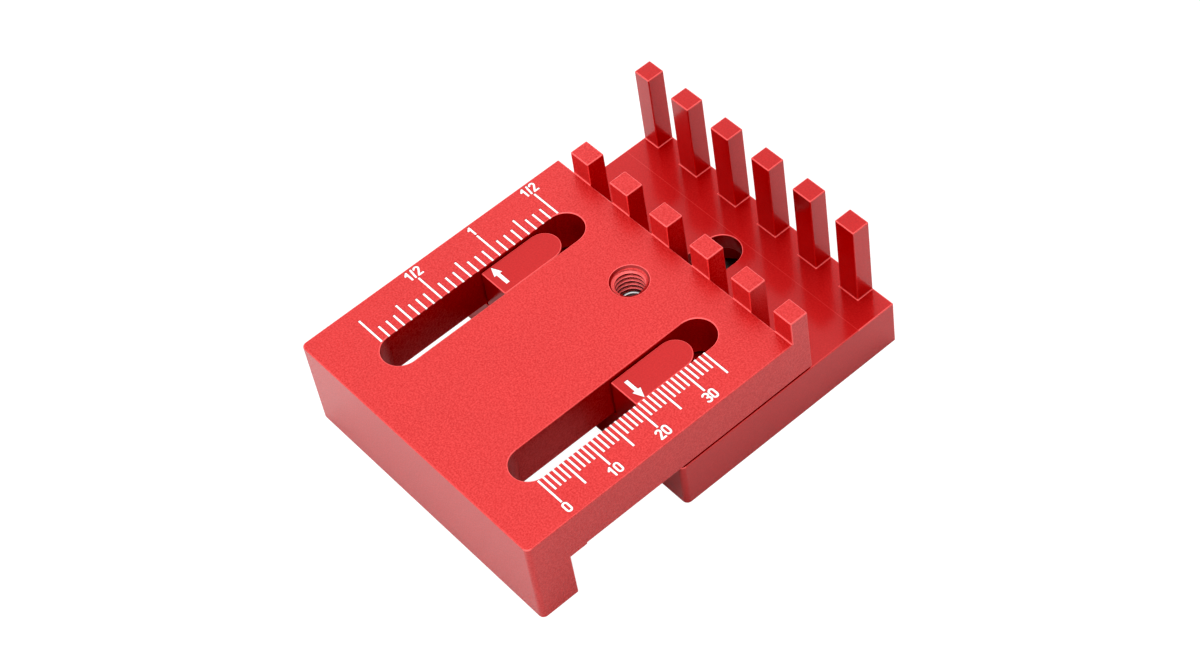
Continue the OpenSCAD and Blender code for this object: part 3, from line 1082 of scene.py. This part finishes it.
@dataclass
class PlainWasher:
    """The stamped washer under the slider, rounded on the side that the punch entered."""

    thread: HelicalThread
    hole_r: float = 3.2
    outer_r: float = 6.0
    low_z: float = 5.3
    high_z: float = 6.28        # just clear of the slider, which runs over it
    roll: float = 0.2
    roll_steps: int = 8
    burr: float = 0.06

    def shape(self) -> BMesh:
        """Turns the ring.

        Returns:
            The finished solid.
        """
        arc = [math.pi / 2 * i / self.roll_steps for i in range(self.roll_steps + 1)]
        top = self.high_z - self.roll
        outer = [(self.outer_r - self.roll + self.roll * math.cos(t),
                  top + self.roll * math.sin(t)) for t in arc]
        inner = [(self.hole_r + self.roll - self.roll * math.sin(t),
                  top + self.roll * math.cos(t)) for t in arc]
        burrs = [(self.hole_r, self.low_z + self.burr), (self.hole_r + self.burr, self.low_z),
                 (self.outer_r - self.burr, self.low_z), (self.outer_r, self.low_z + self.burr)]
        return turned([*burrs, *outer, *inner], self.thread.y)

    def build(self) -> list[bpy.types.Object]:
        """Makes and dresses the piece.

        Returns:
            The piece, alone in a list.
        """
        piece = finish_piece(self.shape(), "stamped_washer", "washer", ["washer"],
                             TURNED_STEP)
        dress(piece, ZincPlatedSteel("zinc_plated_washer", "#bcbdbd", 0.4).build())
        return [piece]


# The studio


@dataclass(frozen=True)
class SoftDome:
    """The light of a diffusing tent: levels from the horizon up, on four sides that blend."""

    back_right: tuple[float, ...] = (0.30, 0.30, 0.64, 0.94)
    back_left: tuple[float, ...] = (0.41, 0.88, 1.92, 0.83)
    front_left: tuple[float, ...] = (0.80, 1.48, 2.00, 0.76)
    front_right: tuple[float, ...] = (0.50, 0.82, 1.31, 1.64)
    zenith: float = 2.22
    heights: tuple[float, ...] = (0.0, 0.25, 0.5, 0.75)     # of the levels, as a sine

    def side(self, tree: bpy.types.NodeTree, height: bpy.types.NodeSocket,
             flat: bpy.types.NodeSocket, levels: Sequence[float],
             azimuth: float) -> bpy.types.NodeSocket:
        """Adds the light of one side.

        Args:
            tree: The world's tree.
            height: The ray's height, as a sine.
            flat: The ray's direction in the floor plane.
            levels: The side's levels.
            azimuth: Where the side's middle lies, in degrees from +X.

        Returns:
            The side's share of the light.
        """
        ramp = add_node(tree, "ShaderNodeValToRGB", {0: height})
        peak = max(*levels, self.zenith)
        stops = ramp.color_ramp.elements
        while len(stops) < len(levels) + 1:
            stops.new(0.5)  # anywhere, because each stop gets its place below
        for stop, at, level in zip(stops, (*self.heights, 1.0), (*levels, self.zenith)):
            stop.position = at
            stop.color = (level / peak,) * 3 + (1.0,)
        turn = math.radians(azimuth)
        along = add_node(tree, "ShaderNodeVectorMath", {
            0: flat, 1: (math.cos(turn), math.sin(turn), 0)}, operation="DOT_PRODUCT")
        ahead = add_node(tree, "ShaderNodeMath", {0: along.outputs["Value"], 1: 0.0},
                         operation="MAXIMUM").outputs[0]
        share = add_node(tree, "ShaderNodeMath", {0: ahead, 1: ahead}, operation="MULTIPLY")
        lit = add_node(tree, "ShaderNodeMath", {0: share.outputs[0], 1: peak}, operation="MULTIPLY")
        return add_node(tree, "ShaderNodeMath", {0: lit.outputs[0], 1: ramp.outputs[0]},
                        operation="MULTIPLY").outputs[0]

    def build(self) -> bpy.types.World:
        """Makes the world. The camera itself sees it plain white.

        Returns:
            The new world.
        """
        world = bpy.data.worlds.new("soft_dome")
        world.use_nodes = True
        tree = world.node_tree
        tree.nodes.clear()
        direction = add_node(tree, "ShaderNodeTexCoord").outputs["Generated"]
        height = add_node(tree, "ShaderNodeSeparateXYZ", {0: direction}).outputs["Z"]
        lying = add_node(tree, "ShaderNodeVectorMath", {0: direction, 1: (1, 1, 0)},
                         operation="MULTIPLY")
        flat = add_node(tree, "ShaderNodeVectorMath", {0: lying.outputs[0]}, operation="NORMALIZE")
        total = None
        for levels, azimuth in ((self.back_right, 45), (self.back_left, 135),
                                (self.front_left, 225), (self.front_right, 315)):
            share = self.side(tree, height, flat.outputs[0], levels, azimuth)
            total = share if total is None else add_node(
                tree, "ShaderNodeMath", {0: total, 1: share}, operation="ADD").outputs[0]
        light = add_node(tree, "ShaderNodeBackground", {"Color": (1, 1, 1, 1), "Strength": total})
        pale = add_node(tree, "ShaderNodeBackground", {"Color": (1, 1, 1, 1), "Strength": 1.0})
        seen = add_node(tree, "ShaderNodeLightPath").outputs["Is Camera Ray"]
        both = add_node(tree, "ShaderNodeMixShader", {
            0: seen, 1: light.outputs[0], 2: pale.outputs[0]})
        add_node(tree, "ShaderNodeOutputWorld", {"Surface": both.outputs[0]})
        return world


@dataclass(frozen=True)
class PaleFloor:
    """A white sheet that burns out in the picture; deep under the gauge its glow fades by ambient
    occlusion, a painted shade.
    """

    reach: float = 3.0          # m
    albedo: float = 0.7         # what the gauge sees
    glow: float = 1.0           # what the camera sees of the open sheet, besides its shading
    shading: float = 0.1        # how much of the gauge's soft shadow the camera sees
    deep: float = 12.0          # mm, things nearer than this close the sheet in
    closed: float = 0.22        # share of open directions where the sheet is dark
    opened: float = 0.34        # share where it is fully pale

    def build(self) -> bpy.types.Object:
        """Makes the floor at the resting plane.

        Returns:
            The floor.
        """
        bm = bmesh.new()
        bmesh.ops.create_grid(bm, x_segments=1, y_segments=1, size=self.reach)
        mesh = bpy.data.meshes.new("floor")
        bm.to_mesh(mesh)
        bm.free()
        floor = bpy.data.objects.new("floor", mesh)
        bpy.context.scene.collection.objects.link(floor)
        material, tree = new_material("pale_floor")
        sheet = add_node(tree, "ShaderNodeBsdfDiffuse", {"Color": (self.albedo,) * 3 + (1,)})
        room = add_node(tree, "ShaderNodeAmbientOcclusion", {"Distance": self.deep * MM},
                        samples=32)
        # painted shade: the sheet's glow fades where ambient occlusion finds the gauge close over
        # it
        level = add_node(tree, "ShaderNodeMapRange", {
            "Value": room.outputs["AO"], "From Min": self.closed, "From Max": self.opened,
            "To Min": 0.0, "To Max": self.glow})
        glow = add_node(tree, "ShaderNodeEmission", {
            "Color": (1, 1, 1, 1), "Strength": level.outputs[0]})
        lit = add_node(tree, "ShaderNodeBsdfDiffuse", {"Color": (self.shading,) * 3 + (1,)})
        bright = add_node(tree, "ShaderNodeAddShader", {0: glow.outputs[0], 1: lit.outputs[0]})
        seen = add_node(tree, "ShaderNodeLightPath").outputs["Is Camera Ray"]
        both = add_node(tree, "ShaderNodeMixShader", {
            0: seen, 1: sheet.outputs[0], 2: bright.outputs[0]})
        add_node(tree, "ShaderNodeOutputMaterial", {"Surface": both.outputs[0]})
        dress(floor, material)
        return floor


@dataclass
class Studio:
    """A pale floor, soft light from all round and above, and the photograph's viewpoint."""

    dome: SoftDome = SoftDome()
    sheet: PaleFloor = PaleFloor()
    place: tuple[float, float, float] = (241.68, -153.70, 362.15)   # mm, of the camera
    turn: tuple[float, float, float] = (38.734, 6.831, 49.104)      # degrees, about X, Y and Z
    lens: float = 82.11         # mm, over the sensor below
    sensor_w: float = 36.0      # mm
    contrast: float = 0.88      # display gamma, for strong contrast
    black: float = 0.01         # veil that is taken off, so that the shadows are a full red

    def camera(self) -> bpy.types.Object:
        """Sets the camera up.

        Returns:
            The camera.
        """
        data = bpy.data.cameras.new("camera")
        data.sensor_width, data.lens = self.sensor_w, self.lens
        data.clip_start, data.clip_end = 0.01, 20.0
        camera = bpy.data.objects.new("camera", data)
        camera.location = Vector(self.place) * MM
        camera.rotation_euler = Euler([math.radians(a) for a in self.turn])
        bpy.context.scene.collection.objects.link(camera)
        return camera

    def build(self) -> None:
        """Sets up the camera, the light, the floor and the way the picture is developed."""
        scene = bpy.context.scene
        scene.camera = self.camera()
        scene.world = self.dome.build()
        self.sheet.build()
        scene.view_settings.view_transform = "Standard"
        scene.view_settings.gamma = self.contrast
        scene.view_settings.use_curve_mapping = True
        scene.view_settings.curve_mapping.black_level = (self.black,) * 3
        scene.view_settings.curve_mapping.update()


def main() -> None:
    """Builds the studio and each part of the gauge in order."""
    logging.basicConfig(level=logging.INFO, format="%(name)s: %(message)s")
    Studio().build()
    comb, thread, engraving = Comb(), HelicalThread(), Engraving()
    for part in (GaugeBody(comb, thread, engraving), GaugeSlider(comb, engraving),
                 LockScrew(thread), PlainWasher(thread), PaintedMarks(engraving)):
        for piece in part.build():
            LOG.info("%s: %d faces", piece.name, len(piece.data.polygons))


if __name__ == "__main__":
    main()
